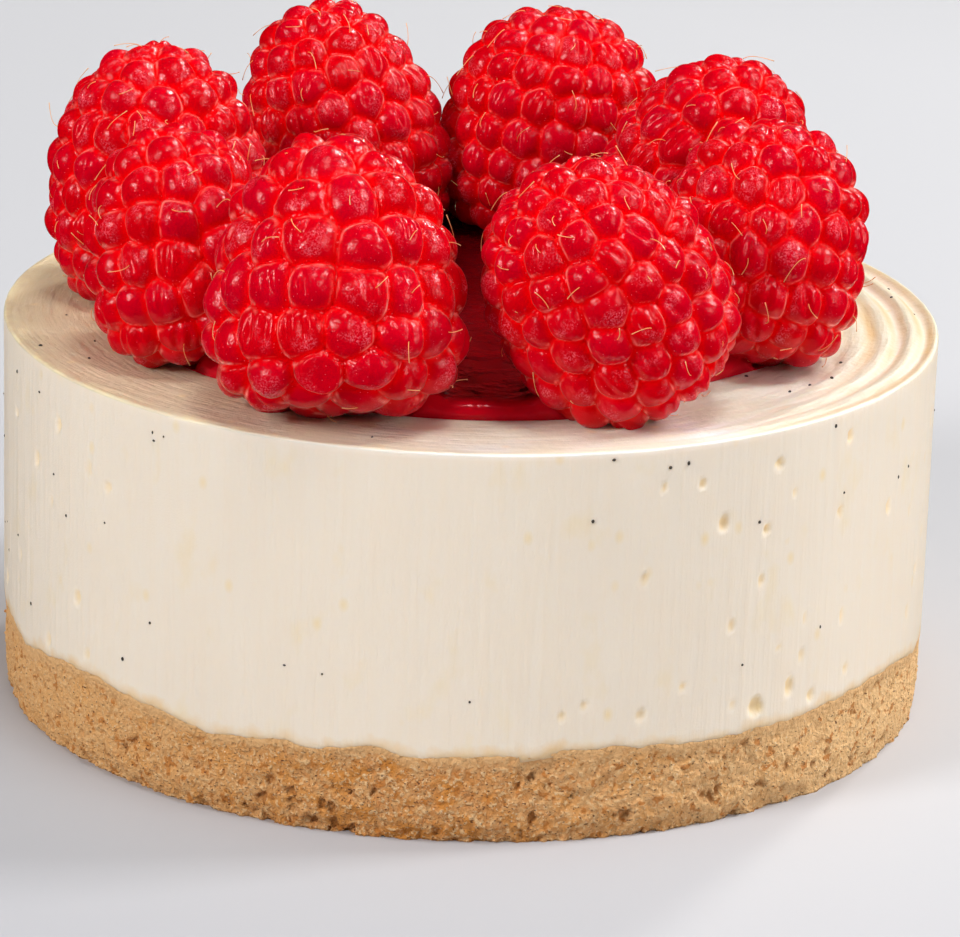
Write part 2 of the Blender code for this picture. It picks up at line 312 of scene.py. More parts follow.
def with_ends(grid):
    """Values on rings as one list, with the mean of the first and of the last ring added for the two ends."""
    flat = grid.reshape((-1,) + grid.shape[2:])
    return np.concatenate([flat, grid[:1].mean(axis=1), grid[-1:].mean(axis=1)])


def turned_piece(name, rings, material, values=None):
    """A closed turned piece from rings of points, with one value for each point under each name in values."""
    quads, triangles = turned_faces(*rings.shape[:2])
    stored = {label: with_ends(grid) for label, grid in (values or {}).items()}
    return mesh_piece(name, with_ends(rings), quads, triangles, material, stored)


def angles_round(columns):
    """Angles that stand closer together at the front: t less a share of the sine of t from there."""
    even = np.linspace(0, 2 * math.pi, columns, endpoint=False)
    return even + FRONT - FRONT_CROWDING * np.sin(even)


def placed_round(radius, height, angles, centre_y=0.0):
    """Points at a radius and a height for each angle."""
    radius, height, angles = np.broadcast_arrays(radius, height, angles)
    return np.stack([radius * np.cos(angles), radius * np.sin(angles) + centre_y, height], -1)


def small_ball(columns, rows):
    """Points and faces of a unit ball as a turned grid, to be copied many times."""
    turn = np.linspace(math.pi, 0, rows + 2)[1:-1]
    angles = np.linspace(0, 2 * math.pi, columns, endpoint=False)
    rings = placed_round(np.sin(turn)[:, None], np.cos(turn)[:, None], angles)
    points = with_ends(rings)
    points[-2:] = (0, 0, -1), (0, 0, 1)
    return points, *turned_faces(rows, columns)


def scattered_piece(name, shapes, faces, material, values=None):
    """Copies of one small shape as one piece: shapes is copies x points x 3, and faces are one copy's."""
    quads, triangles = faces
    count, size = shapes.shape[:2]
    shift = (np.arange(count) * size)[:, None, None]
    all_quads = (quads[None] + shift).reshape(-1, 4)
    all_triangles = (triangles[None] + shift).reshape(-1, 3)
    return mesh_piece(name, shapes.reshape(-1, 3), all_quads, all_triangles, material, values)


# Shader nodes

def add_node(tree, kind, **settings):
    """A node with its settings."""
    node = tree.nodes.new(kind)
    for name, value in settings.items():
        setattr(node, name, value)
    return node


def join(tree, source, target):
    """A link from one socket to another."""
    tree.links.new(source, target)


def new_group(name, inputs, outputs):
    """An empty shader group. inputs maps names to kinds and values, and outputs maps names to kinds."""
    tree = bpy.data.node_groups.new(name, "ShaderNodeTree")
    for label, (kind, value) in inputs.items():
        socket = tree.interface.new_socket(name=label, in_out="INPUT", socket_type=kind)
        if value is not None:
            socket.default_value = value
    for label, kind in outputs.items():
        tree.interface.new_socket(name=label, in_out="OUTPUT", socket_type=kind)
    return tree, tree.nodes.new("NodeGroupInput"), tree.nodes.new("NodeGroupOutput")


def mottle_group():
    """Soft patches from 0 to 1: noise in millimetres, stretched in contrast round its middle."""
    tree, given, result = new_group(
        "Mottle",
        {
            "Vector": ("NodeSocketVector", None),
            "Scale": ("NodeSocketFloat", 1.0),
            "Detail": ("NodeSocketFloat", 3.0),
            "Low": ("NodeSocketFloat", 0.35),
            "High": ("NodeSocketFloat", 0.65),
        },
        {"Mask": "NodeSocketFloat"},
    )
    noise = add_node(tree, "ShaderNodeTexNoise")
    stretch = add_node(tree, "ShaderNodeMapRange", clamp=True)
    join(tree, given.outputs["Vector"], noise.inputs["Vector"])
    join(tree, given.outputs["Scale"], noise.inputs["Scale"])
    join(tree, given.outputs["Detail"], noise.inputs["Detail"])
    join(tree, noise.outputs["Fac"], stretch.inputs["Value"])
    join(tree, given.outputs["Low"], stretch.inputs["From Min"])
    join(tree, given.outputs["High"], stretch.inputs["From Max"])
    join(tree, stretch.outputs["Result"], result.inputs["Mask"])
    return tree


def speck_group():
    """Small round specks from 0 to 1: full within Size of scattered points, in some cells only."""
    tree, given, result = new_group(
        "Specks",
        {
            "Vector": ("NodeSocketVector", None),
            "Scale": ("NodeSocketFloat", 3.0),
            "Size": ("NodeSocketFloat", 0.3),
            "Share": ("NodeSocketFloat", 0.5),
        },
        {"Mask": "NodeSocketFloat"},
    )
    cells = add_node(tree, "ShaderNodeTexVoronoi")
    near = add_node(tree, "ShaderNodeMapRange", clamp=True)
    near.inputs["To Min"].default_value = 1.0
    near.inputs["To Max"].default_value = 0.0
    split = add_node(tree, "ShaderNodeSeparateColor")
    chosen = add_node(tree, "ShaderNodeMath", operation="LESS_THAN")
    both = add_node(tree, "ShaderNodeMath", operation="MULTIPLY")
    join(tree, given.outputs["Vector"], cells.inputs["Vector"])
    join(tree, given.outputs["Scale"], cells.inputs["Scale"])
    join(tree, cells.outputs["Distance"], near.inputs["Value"])
    join(tree, given.outputs["Size"], near.inputs["From Max"])
    join(tree, cells.outputs["Color"], split.inputs["Color"])
    join(tree, split.outputs["Red"], chosen.inputs[0])
    join(tree, given.outputs["Share"], chosen.inputs[1])
    join(tree, near.outputs["Result"], both.inputs[0])
    join(tree, chosen.outputs["Value"], both.inputs[1])
    join(tree, both.outputs["Value"], result.inputs["Mask"])
    return tree


MOTTLE = mottle_group()
SPECKS = speck_group()


class Finish:
    """A material with one Principled shader, its Object coordinates in millimetres, and helpers."""

    def __init__(self, name, colour, roughness):
        self.material = bpy.data.materials.new(name)
        self.material.use_nodes = True
        self.tree = self.material.node_tree
        self.shader = self.tree.nodes["Principled BSDF"]
        self.shader.subsurface_method = "BURLEY"
        self.shader.inputs["Roughness"].default_value = roughness
        self.colour = add_node(self.tree, "ShaderNodeRGB").outputs[0]
        self.colour.default_value = (*colour, 1.0)
        place = add_node(self.tree, "ShaderNodeTexCoord")
        scaled = add_node(self.tree, "ShaderNodeMapping")
        scaled.inputs["Scale"].default_value = (1 / MM,) * 3
        join(self.tree, place.outputs["Object"], scaled.inputs["Vector"])
        self.place = scaled.outputs["Vector"]
        self.normal = None

    def set(self, **values):
        """Values of the shader's own sockets, with underscores for the spaces in their names."""
        for label, value in values.items():
            self.shader.inputs[label.replace("_", " ")].default_value = value

    def stretched(self, x, y, z):
        """The place with each axis multiplied, so that a pattern grows long where its number is small."""
        scaled = add_node(self.tree, "ShaderNodeMapping")
        scaled.inputs["Scale"].default_value = (x, y, z)
        join(self.tree, self.place, scaled.inputs["Vector"])
        return scaled.outputs["Vector"]

    def stored(self, label, kind="Fac"):
        """A number or vector stored on the piece's points."""
        return add_node(self.tree, "ShaderNodeAttribute", attribute_name=label).outputs[kind]

    def grouped(self, tree, output, vector=None, **values):
        """A group's output at the place, or at a vector of its own, with its other inputs set."""
        node = add_node(self.tree, "ShaderNodeGroup", node_tree=tree)
        join(self.tree, vector or self.place, node.inputs["Vector"])
        for label, value in values.items():
            node.inputs[label].default_value = value
        return node.outputs[output]

    def mottle(self, vector=None, **values):
        """Soft patches."""
        return self.grouped(MOTTLE, "Mask", vector, **values)

    def specks(self, vector=None, **values):
        """Small round specks."""
        return self.grouped(SPECKS, "Mask", vector, **values)

    def ranged(self, value, low, high, to_low=0.0, to_high=1.0):
        """A value drawn from one range to another and held inside it."""
        node = add_node(self.tree, "ShaderNodeMapRange", clamp=True)
        limits = {"From Min": low, "From Max": high, "To Min": to_low, "To Max": to_high}
        for label, number in limits.items():
            node.inputs[label].default_value = number
        join(self.tree, value, node.inputs["Value"])
        return node.outputs["Result"]

    def maths(self, operation, first, second):
        """Two sockets or numbers put together."""
        node = add_node(self.tree, "ShaderNodeMath", operation=operation)
        for socket, value in zip(node.inputs, (first, second)):
            if isinstance(value, (int, float)):
                socket.default_value = value
            else:
                join(self.tree, value, socket)
        return node.outputs["Value"]

    def tint(self, mask, colour, share=1.0):
        """Mixes a colour over the colour so far where the mask is 1, or a share of it."""
        if share < 1:
            mask = self.maths("MULTIPLY", mask, share)
        node = add_node(self.tree, "ShaderNodeMix", data_type="RGBA")
        factor, under, over = node.inputs[0], node.inputs[6], node.inputs[7]
        join(self.tree, mask, factor)
        join(self.tree, self.colour, under)
        over.default_value = (*colour, 1.0)
        self.colour = node.outputs[2]

    def roughen(self, value):
        """Roughness that changes over the surface."""
        join(self.tree, value, self.shader.inputs["Roughness"])

    def bump(self, height, distance, strength=1.0):
        """Adds a bump whose height runs over distance, on top of those before."""
        node = add_node(self.tree, "ShaderNodeBump")
        node.inputs["Strength"].default_value = strength
        node.inputs["Distance"].default_value = distance
        join(self.tree, height, node.inputs["Height"])
        if self.normal is not None:
            join(self.tree, self.normal, node.inputs["Normal"])
        self.normal = node.outputs["Normal"]

    def finished(self):
        """The material, once its colour and its bumps are joined to the shader."""
        join(self.tree, self.colour, self.shader.inputs["Base Color"])
        if self.normal is not None:
            join(self.tree, self.normal, self.shader.inputs["Normal"])
        return self.material


# Finishes

def raspberry_finish():
    """Translucent red, with a painted glow in the creases, pale fuzz that doubles as painted sheen, and
    painted sheen outlines on lobes that turn away.
    """
    finish = Finish("raspberry", (0.575, 0.0002, 0.004), 0.3)
    finish.tint(finish.ranged(finish.stored("lobe"), 0.0, 1.0, 0.0, 0.5), (0.54, 0.0004, 0.018))
    # Painted glow: the creases are brighter red, standing in for light that comes through the berry
    finish.tint(finish.ranged(finish.stored("crease"), 0.1, 1.0, 0.0, 0.8), (0.72, 0.0003, 0.001))
    # Pale fuzz in soft patches, kept out of the creases, that also stands for a painted sheen
    fuzz_and_sheen = finish.mottle(Scale=0.42, Detail=2.0, Low=0.53, High=0.68)
    fuzz_and_sheen = finish.maths("MULTIPLY", fuzz_and_sheen, finish.mottle(Scale=6.0, Detail=2.0, Low=0.45, High=0.66))
    bare = finish.ranged(finish.stored("crease"), 0.0, 0.5, 0.62, 0.0)
    finish.tint(finish.maths("MULTIPLY", fuzz_and_sheen, bare), (0.84, 0.14, 0.19))
    # Pale specks of fuzz, partly painted glints
    finish.tint(finish.specks(Scale=3.2, Size=0.20, Share=0.24), (0.82, 0.15, 0.17))
    # Painted sheen: pale outlines in the stored band and a pale rim, where the surface turns away from the
    # view
    edge = add_node(finish.tree, "ShaderNodeLayerWeight")
    edge.inputs["Blend"].default_value = 0.5
    broken = finish.mottle(Scale=0.9, Detail=2.0, Low=0.40, High=0.62)
    turned = finish.ranged(edge.outputs["Facing"], 0.30, 0.58, 0.0, 1.0)
    outline = finish.maths("MULTIPLY", finish.maths("MULTIPLY", finish.stored("outline"), broken), turned)
    finish.tint(outline, (0.92, 0.27, 0.22))
    rim = finish.ranged(edge.outputs["Facing"], 0.74, 0.96, 0.0, 0.6)
    finish.tint(rim, (0.88, 0.20, 0.16))
    grain = finish.mottle(Scale=4.5, Detail=2.0, Low=0.2, High=0.8)
    finish.roughen(finish.ranged(grain, 0.3, 0.8, 0.08, 0.22))
    finish.bump(grain, 0.04 * MM, 0.7)
    finish.set(Subsurface_Weight=1.0, Subsurface_Radius=(1.0, 0.06, 0.05), Subsurface_Scale=1.2 * MM)
    finish.set(Specular_IOR_Level=0.25, Specular_Tint=(1.0, 0.78, 0.74, 1.0))
    return finish.finished()


def past_line(finish, label):
    """A stored distance from the line between crust and cream, made uneven by soft patches."""
    uneven = finish.mottle(Scale=0.5, Detail=4.0, Low=0.3, High=0.7)
    return finish.maths("ADD", finish.stored(label), uneven)


def cream_finish():
    """Off-white set cream with soft light through it, upright streaks, warm patches and yellow spots.

    The pits are warmer, and the crust shows through right above the line. The top is painted greyer and
    greener than the wall against red bounced light, with painted shade in tan at the back and the left and in
    the troughs between the ridges. Its rim has yellow patches and a painted pale highlight along the front
    edge.
    """
    finish = Finish("cream", (0.86, 0.75, 0.615), 0.42)
    finish.tint(finish.mottle(Scale=0.12, Detail=3.0, Low=0.3, High=0.7), (0.88, 0.79, 0.66), 0.3)
    streaks = finish.mottle(finish.stretched(1.3, 1.3, 0.09), Scale=1.0, Detail=3.0, Low=0.35, High=0.75)
    finish.tint(streaks, (0.88, 0.70, 0.50), 0.22)
    warm = finish.mottle(finish.stretched(1.0, 1.0, 0.6), Scale=0.32, Detail=3.0, Low=0.60, High=0.74)
    finish.tint(warm, (0.86, 0.68, 0.38), 0.32)
    finish.tint(finish.ranged(finish.stored("pit"), 0.0, 1.0, 0.0, 0.75), (0.86, 0.64, 0.33))
    top, tan = finish.stored("top"), finish.stored("tan")
    # Painted light: the top is tinted greyer and greener than the wall, against red light bounced onto it and
    # its stronger light
    finish.tint(top, (0.80, 0.795, 0.63), 0.9)
    # Painted shade: tan over the top, least at the lit front right
    finish.tint(tan, (0.67, 0.52, 0.315), 0.9)
    # Painted shade in the troughs between the ridges
    finish.tint(finish.maths("MULTIPLY", finish.stored("groove_shade"), top), (0.72, 0.47, 0.16))
    yellow = finish.mottle(Scale=0.3, Detail=4.0, Low=0.45, High=0.6)
    yellow = finish.maths("MULTIPLY", finish.stored("rim"), yellow)
    finish.tint(finish.maths("MULTIPLY", yellow, tan), (0.86, 0.76, 0.46), 0.7)
    spots = finish.specks(finish.stretched(1.0, 1.0, 0.7), Scale=0.40, Size=0.22, Share=0.30)
    finish.tint(spots, (0.86, 0.66, 0.34), 0.8)
    veil = past_line(finish, "over_crust")
    finish.tint(finish.ranged(veil, 0.3, 1.5, 0.85, 0.0), (0.83, 0.56, 0.28))
    # Painted highlight: a pale line along the front rim edge
    finish.tint(finish.stored("lip_highlight"), (0.93, 0.92, 0.91))
    finish.bump(streaks, 0.07 * MM, 0.6)
    strokes = finish.mottle(finish.stored("stroke", "Vector"), Scale=1.0, Detail=4.0, Low=0.3, High=0.7)
    finish.bump(finish.maths("MULTIPLY", strokes, top), 0.10 * MM, 0.8)
    finish.bump(finish.mottle(Scale=6.0, Detail=2.0, Low=0.3, High=0.7), 0.02 * MM, 0.4)
    finish.set(Subsurface_Weight=1.0, Subsurface_Radius=(1.0, 0.75, 0.45), Subsurface_Scale=0.9 * MM)
    return finish.finished()


def biscuit_finish():
    """Pressed crumb: tan, painted paler at the left and most at the right for the light there, with cream
    soaked in at the top.

    It has amber and red-brown flecks, pale bits and dark pores, and painted shade in its hollows.
    """
    finish = Finish("biscuit", (0.66, 0.27, 0.070), 0.75)
    finish.tint(finish.ranged(finish.stored("lump"), 0.2, 0.9, 0.0, 0.8), (0.73, 0.40, 0.155))
    finish.tint(finish.mottle(Scale=0.5, Detail=4.0, Low=0.46, High=0.62), (0.68, 0.255, 0.035))
    finish.tint(finish.mottle(Scale=2.6, Detail=4.0, Low=0.54, High=0.62), (0.82, 0.51, 0.24))
    finish.tint(finish.mottle(Scale=3.4, Detail=3.0, Low=0.60, High=0.68), (0.42, 0.15, 0.03))
    split = add_node(finish.tree, "ShaderNodeSeparateXYZ")
    join(finish.tree, finish.place, split.inputs["Vector"])
    # Painted light: paler towards the right, where more light falls, and towards the left
    finish.tint(finish.ranged(split.outputs["X"], 0.0, 36.0, 0.0, 0.75), (0.98, 0.63, 0.29))
    finish.tint(finish.ranged(split.outputs["X"], -36.0, -6.0, 0.6, 0.0), (0.93, 0.53, 0.21))
    finish.tint(finish.mottle(Scale=1.1, Detail=3.0, Low=0.59, High=0.64), (0.58, 0.19, 0.020), 0.8)
    finish.tint(finish.specks(Scale=3.0, Size=0.32, Share=0.22), (0.88, 0.70, 0.46))
    pores = finish.mottle(finish.stretched(1.0, 1.0, 1.7), Scale=3.2, Detail=2.0, Low=0.65, High=0.70)
    finish.tint(pores, (0.17, 0.045, 0.008), 0.9)
    # Painted shade: darker in the hollows where lumps are missing and between the fine crumbs
    finish.tint(finish.ranged(finish.stored("pit_shade"), 0.2, 1.0, 0.0, 0.7), (0.46, 0.17, 0.030))
    soaked = past_line(finish, "under_cream")
    finish.tint(finish.ranged(soaked, 0.5, 2.0, 0.9, 0.0), (0.87, 0.50, 0.21))
    finish.bump(finish.mottle(Scale=2.6, Detail=5.0, Low=0.2, High=0.8), 0.35 * MM, 1.0)
    finish.bump(pores, -0.25 * MM, 0.8)
    return finish.finished()


def jam_finish():
    """Glossy dark red, brighter where the pool is thin."""
    finish = Finish("jam", (0.060, 0.0004, 0.0015), 0.14)
    pulp = finish.mottle(Scale=0.35, Detail=5.0, Low=0.42, High=0.68)
    finish.tint(pulp, (0.095, 0.0006, 0.002))
    finish.tint(finish.stored("thin"), (0.66, 0.002, 0.014))
    finish.bump(pulp, 0.25 * MM, 0.3)
    finish.set(Subsurface_Weight=0.6, Subsurface_Radius=(1.0, 0.05, 0.05), Subsurface_Scale=1.2 * MM)
    finish.set(Specular_IOR_Level=0.3, Specular_Tint=(1.0, 0.6, 0.6, 1.0))
    return finish.finished()


def style_finish():
    """Dried golden threads, paler towards the tip."""
    finish = Finish("style", (0.86, 0.36, 0.10), 0.45)
    finish.tint(finish.ranged(finish.stored("along"), 0.3, 1.0, 0.0, 0.8), (0.84, 0.50, 0.22))
    return finish.finished()


def seed_finish():
    """Almost black vanilla seeds with brown patches and a dull shine."""
    finish = Finish("vanilla_seed", (0.026, 0.018, 0.012), 0.55)
    finish.tint(finish.mottle(Scale=6.0, Detail=2.0, Low=0.35, High=0.7), (0.08, 0.058, 0.04))
    return finish.finished()


# Crust

def crust_top(angles):
    """Height of the uneven line where the crust meets the filling, round the wall."""
    place = placed_round(CAKE_RADIUS / MM, 0.0, angles)
    line = np.interp(degrees_round(angles), *np.array(CRUST_LINE).T, period=360)
    return (line + LINE_UNEVENNESS * (layered_noise(place / 2.2, 56, 4) - 0.5)) * MM


def wall_reach(angles, heights):
    """Radius of the wall that cream and crust share: waves and upright streaks inside the full radius."""
    around = placed_round(CAKE_RADIUS, heights, angles) / MM
    waves = WALL_WAVES * (layered_noise(around / np.array([9.0, 9.0, 14.0]), 51) - 0.5)
    streaks = WALL_STREAKS * (layered_noise(around * np.array([0.9, 0.9, 0.06]), 52) - 0.5)
    return np.minimum(CAKE_RADIUS - WALL_INSET + waves + streaks, CAKE_RADIUS)


def crumb_relief(points):
    """How far each place stands in from the plain wall, in metres, where its hollows get painted shade, and
    its lump's number.

    Two sizes of lump, each a dome that falls with the square of the distance from its seed point, pits
    where a lump is missing, a slow unevenness and a fine grain.
    """
    place = points / MM
    warp = [layered_noise(place / 0.9, CRUST_SEED + 100 + axis) for axis in range(3)]
    bent = place + 0.8 * np.stack(warp, -1)
    near, second, number = nearest_lump(bent / CRUMB_SIZE, CRUST_SEED)
    fine, _, fine_number = nearest_lump(bent / FINE_CRUMB_SIZE, CRUST_SEED + 20)
    slow = layered_noise(place / 3.5, CRUST_SEED + 40)
    grain = layered_noise(place / 0.8, CRUST_SEED + 80)
    missing = eased(number, 0.86, 0.92) * eased(second - near, 0.02, 0.25) * eased(slow, 0.35, 0.6)
    inward = CRUMB_DEPTH * near**2 + FINE_CRUMB_DEPTH * fine**2 + MISSING_DEPTH * missing
    inward = inward + SLOW_DEPTH * eased(slow, 0.45, 0.8) + GRAIN_DEPTH * grain
    return inward * MM, np.clip(missing + 1.2 * eased(grain, 0.6, 0.9) * fine, 0, 1), fine_number


def crust_reach(angles, heights):
    """Radius of the crust's wall, with where its hollows get painted shade, and its lump's number.

    The relief fades out towards the line, and the bottom edge is broken back by noise that falls off
    above BROKEN_HEIGHT. Both are weaker at the left and the right, by the cosine of the angle to the
    fourth power. Above the line the crust leans in behind the cream.
    """
    above = heights - crust_top(angles)
    plain = placed_round(CAKE_RADIUS, heights, angles)
    inward, pit_shade, lump = crumb_relief(plain)
    beside = np.cos(angles) ** 4
    noise = 0.3 + layered_noise(plain / MM / 0.9, CRUST_SEED + 60)
    ragged = BROKEN_DEPTH * np.exp(-((heights / MM / BROKEN_HEIGHT) ** 2)) * noise
    ragged = ragged * (1 - BROKEN_CALM * beside)
    fade = RELIEF_LEAST + (1 - RELIEF_LEAST) * eased(-above, 0, RELIEF_GROWTH)
    fade = fade * (1 - RELIEF_CALM * beside)
    lean = JOINT_LEAN * np.clip(above + JOINT_START, 0, None)
    return wall_reach(angles, heights) - inward * fade - ragged - lean, pit_shade, lump


def make_crust(material):
    """A pressed crumb disc: rings up the wall less the relief, a broken bottom edge and a flat foot."""
    angles = angles_round(CRUST_COLUMNS)
    top = crust_top(angles) + JOINT_OVERLAP
    share = np.linspace(0, 1, CRUST_WALL_ROWS)[:, None]
    heights = share * top
    reach, pit_shade, lump = crust_reach(angles, heights)
    wall = placed_round(reach, heights, angles)
    foot_reach = np.hypot(wall[0, :, 0], wall[0, :, 1])
    under = [placed_round(foot_reach * part, 0.0, angles)[None] for part in (0.5, 0.9, 0.985)]
    hidden_reach = CAKE_RADIUS - HIDDEN_INSET
    over = [placed_round(hidden_reach * part, top, angles)[None] for part in (1.0, 0.9, 0.5)]
    rings = np.concatenate(under + [wall] + over)
    middle = slice(len(under), len(under) + CRUST_WALL_ROWS)
    values = {label: np.zeros(rings.shape[:2]) for label in ("pit_shade", "lump", "under_cream")}
    values["pit_shade"][middle] = pit_shade
    values["lump"][middle] = lump
    values["under_cream"][:] = (crust_top(angles) - rings[..., 2]) / MM
    piece = turned_piece("crust_crumb", rings, material, values)
    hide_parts("crust")
    return piece


# Filling

def ridge_relief(radius, angles):
    """Height of the spatula ridges: a cosine across the outer band, fading inwards and away from the right.

    The ridges run together towards RIDGE_MEETING_WAY.
    """
    inward = CAKE_RADIUS - radius
    turn = degrees_round(angles)
    strength = np.exp(-(((turn - RIDGE_WAY) / RIDGE_SWEEP) ** 2))
    opened = np.clip((turn - RIDGE_MEETING_WAY) / -RIDGE_MEETING_WAY, 0, 1)
    spread = RIDGE_CLOSEST + (1 - RIDGE_CLOSEST) * opened
    fade = np.exp(-((inward / RIDGE_BAND) ** 2))
    wave = np.cos(2 * math.pi * inward / (RIDGE_SPACING * spread)) - RIDGE_TROUGH
    return RIDGE_HEIGHT * strength * fade * wave


def stroke_place(radius, angles):
    """A place for patterns drawn out round the cake: the radius in mm, and the angle's cosine and sine."""
    radius, angles = np.broadcast_arrays(radius, angles)
    return np.stack([1.6 * radius / MM, 7 * np.cos(angles), 7 * np.sin(angles)], -1)


# Air pits that show at the front: angle in degrees, height, half width, half height and depth in mm
FRONT_PITS = (
    (-39.1, 32.6, 0.40, 0.70, 0.35), (-51.3, 32.0, 0.55, 0.50, 0.35), (-48.7, 29.1, 0.30, 0.40, 0.25),
    (-67.0, 31.5, 0.30, 0.45, 0.25), (-62.1, 31.4, 0.40, 0.45, 0.30), (-59.0, 27.6, 0.55, 0.75, 0.40),
    (-52.8, 26.3, 0.42, 0.50, 0.40), (-40.4, 26.0, 0.35, 0.60, 0.30), (-29.2, 24.3, 0.35, 0.80, 0.35),
    (-69.0, 23.5, 0.40, 0.65, 0.20), (-53.3, 21.8, 0.32, 0.55, 0.32), (-57.3, 18.2, 0.35, 0.60, 0.25),
    (-39.0, 16.2, 0.32, 0.70, 0.28), (-46.0, 17.2, 0.25, 0.60, 0.20), (-46.2, 13.9, 0.28, 0.70, 0.25),
    (-50.1, 15.2, 0.25, 0.38, 0.20), (-37.6, 11.0, 0.35, 0.50, 0.28), (-48.0, 11.3, 0.50, 0.95, 0.38),
    (-53.2, 10.3, 0.80, 0.95, 0.50), (-44.2, 9.8, 0.50, 0.60, 0.32), (-56.6, 10.9, 0.25, 0.40, 0.22),
    (-63.6, 13.4, 0.28, 0.42, 0.28), (-68.8, 11.3, 0.50, 0.60, 0.22), (-75.7, 12.6, 0.35, 0.40, 0.22),
    (-78.3, 11.7, 0.35, 0.55, 0.22),
)

# Air pits elsewhere: how many, between which angles, their lowest height, its spread and their half width
OTHER_PITS = 110
OTHER_PIT_ANGLES = (-25, 225)
OTHER_PIT_LOWEST = 9.5
OTHER_PIT_SPREAD = 22
OTHER_PIT_WIDTHS = (0.18, 0.55)


def pit_places():
    """The pits that show, and others scattered round the back and the sides, more of them low down."""
    random = np.random.default_rng(31)
    angle = random.uniform(*OTHER_PIT_ANGLES, OTHER_PITS)
    height = OTHER_PIT_LOWEST + OTHER_PIT_SPREAD * random.random(OTHER_PITS) ** 1.4
    width = random.uniform(*OTHER_PIT_WIDTHS, OTHER_PITS)
    tall = width * random.uniform(1.1, 2.2, OTHER_PITS)
    depth = width * random.uniform(0.3, 0.7, OTHER_PITS)
    return np.concatenate([np.array(FRONT_PITS), np.stack([angle, height, width, tall, depth], -1)])


def pit_relief(angles, heights):
    """Depth of the pits at each place of the wall: for each, its depth times 1 - r^3 inside its oval."""
    deepest = np.zeros(np.broadcast(angles, heights).shape)
    for angle, height, width, tall, depth in pit_places():
        across = CAKE_RADIUS * np.radians(degrees_round(angles - math.radians(angle))) / (width * MM)
        up = (heights - height * MM) / (tall * MM)
        reach = np.sqrt(across**2 + up**2)
        deepest = np.maximum(deepest, depth * MM * np.clip(1 - reach**3, 0, 1))
    return deepest


def make_filling(material):
    """The cream: rings under it, up the wall with its pits, round the rim and over the ridged top."""
    angles = angles_round(CREAM_COLUMNS)
    line = crust_top(angles)
    foot = line - JOINT_OVERLAP
    shoulder = CAKE_HEIGHT - RIM_ROUNDING
    share = np.linspace(0, 1, CREAM_WALL_ROWS)[:, None]
    heights = foot + share * (shoulder - foot)
    pits = pit_relief(angles, heights)
    lean = JOINT_LEAN * np.clip(line + JOINT_START - heights, 0, None)
    reach = wall_reach(angles, heights) - pits - lean
    wall = placed_round(reach, heights, angles)
    bend = np.linspace(0, math.pi / 2, RIM_ROWS + 2)[1:-1, None]
    rim_reach = reach[-1] - RIM_ROUNDING * (1 - np.cos(bend))
    rim = placed_round(rim_reach, shoulder + RIM_ROUNDING * np.sin(bend), angles)
    band = np.linspace(RIM_ROUNDING, CREAM_TOP_BAND, CREAM_TOP_ROWS)
    inward = np.concatenate([band, np.linspace(20, 40, 5) * MM])
    radius = reach[-1] - inward[:, None]
    flat = placed_round(radius, 0.0, angles) / MM
    strokes = TOP_STROKES * (layered_noise(stroke_place(radius, angles), 53) - 0.5)
    waves = TOP_WAVES * (layered_noise(flat / 7.0, 54) - 0.5)
    rise = ridge_relief(radius, angles) + (strokes + waves)
    rise = rise * eased(inward[:, None], RIM_ROUNDING, 1.2 * MM)
    top = placed_round(radius, CAKE_HEIGHT + rise, angles)
    hidden_reach = CAKE_RADIUS - HIDDEN_INSET
    under = [placed_round(hidden_reach * part, foot, angles)[None] for part in (0.5, 0.9, 1.0)]
    rings = np.concatenate(under + [wall, rim, top])
    size = rings.shape[:2]
    radii = np.hypot(rings[..., 0], rings[..., 1])
    values = {
        "pit": np.zeros(size),
        "over_crust": (rings[..., 2] - line) / MM,
        "top": eased(rings[..., 2], shoulder, shoulder + 0.6 * RIM_ROUNDING),
        # Painted shade in the troughs between the ridges
        "groove_shade": eased(-ridge_relief(radii, angles), 0.0, 0.26 * MM),
        "rim": np.exp(-(((CAKE_RADIUS - radii) / (1.3 * MM)) ** 2)),
        "stroke": stroke_place(radii, angles),
    }
    turn = degrees_round(angles)
    # Painted shade on the top: strongest away from the lit front right
    values["tan"] = values["top"] * (1 - 0.9 * np.exp(-(((turn + 30) / 80) ** 2)))
    # Painted highlight along the rim edge at the front, broken by noise
    drawn = np.exp(-(((turn + 75) / 38) ** 2)) * (0.5 + layered_noise(placed_round(6.0, 0.0, angles), 55))
    below = rings[..., 2] - CAKE_HEIGHT + 0.15 * MM
    values["lip_highlight"] = 0.8 * drawn * np.exp(-((below / (0.12 * MM)) ** 2))
    middle = slice(len(under), len(under) + CREAM_WALL_ROWS)
    values["pit"][middle] = np.clip(pits / (0.3 * MM), 0, 1)
    piece = turned_piece("cream_filling", rings, material, values)
    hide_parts("filling")
    return piece


# Jam

def jam_outline(angles):
    """Radius of the pool round its own middle: wavy, with a smooth bump or hollow at each reach."""
    radius = JAM_RADIUS + waves_round(angles, JAM_WAVES)
    for way, sweep, reach in JAM_REACHES:
        away = degrees_round(angles - math.radians(way)) / sweep
        radius = radius + reach * MM * np.exp(-(away**2))
    return radius


def berry_clearance(points, berries):
    """Distance in plan from the nearest berry's outline at the jam's height, negative inside."""
    nearest = np.full(points.shape[:-1], 1.0)
    level = CAKE_HEIGHT + JAM_THICKNESS
    for berry in berries:
        middle, reach = berry.ring_at(level)
        offset = points[..., :2] - middle
        angle = np.arctan2(offset[..., 1], offset[..., 0])
        outline = np.interp(angle, *reach, period=2 * math.pi)
        nearest = np.minimum(nearest, np.hypot(offset[..., 0], offset[..., 1]) - outline)
    return nearest


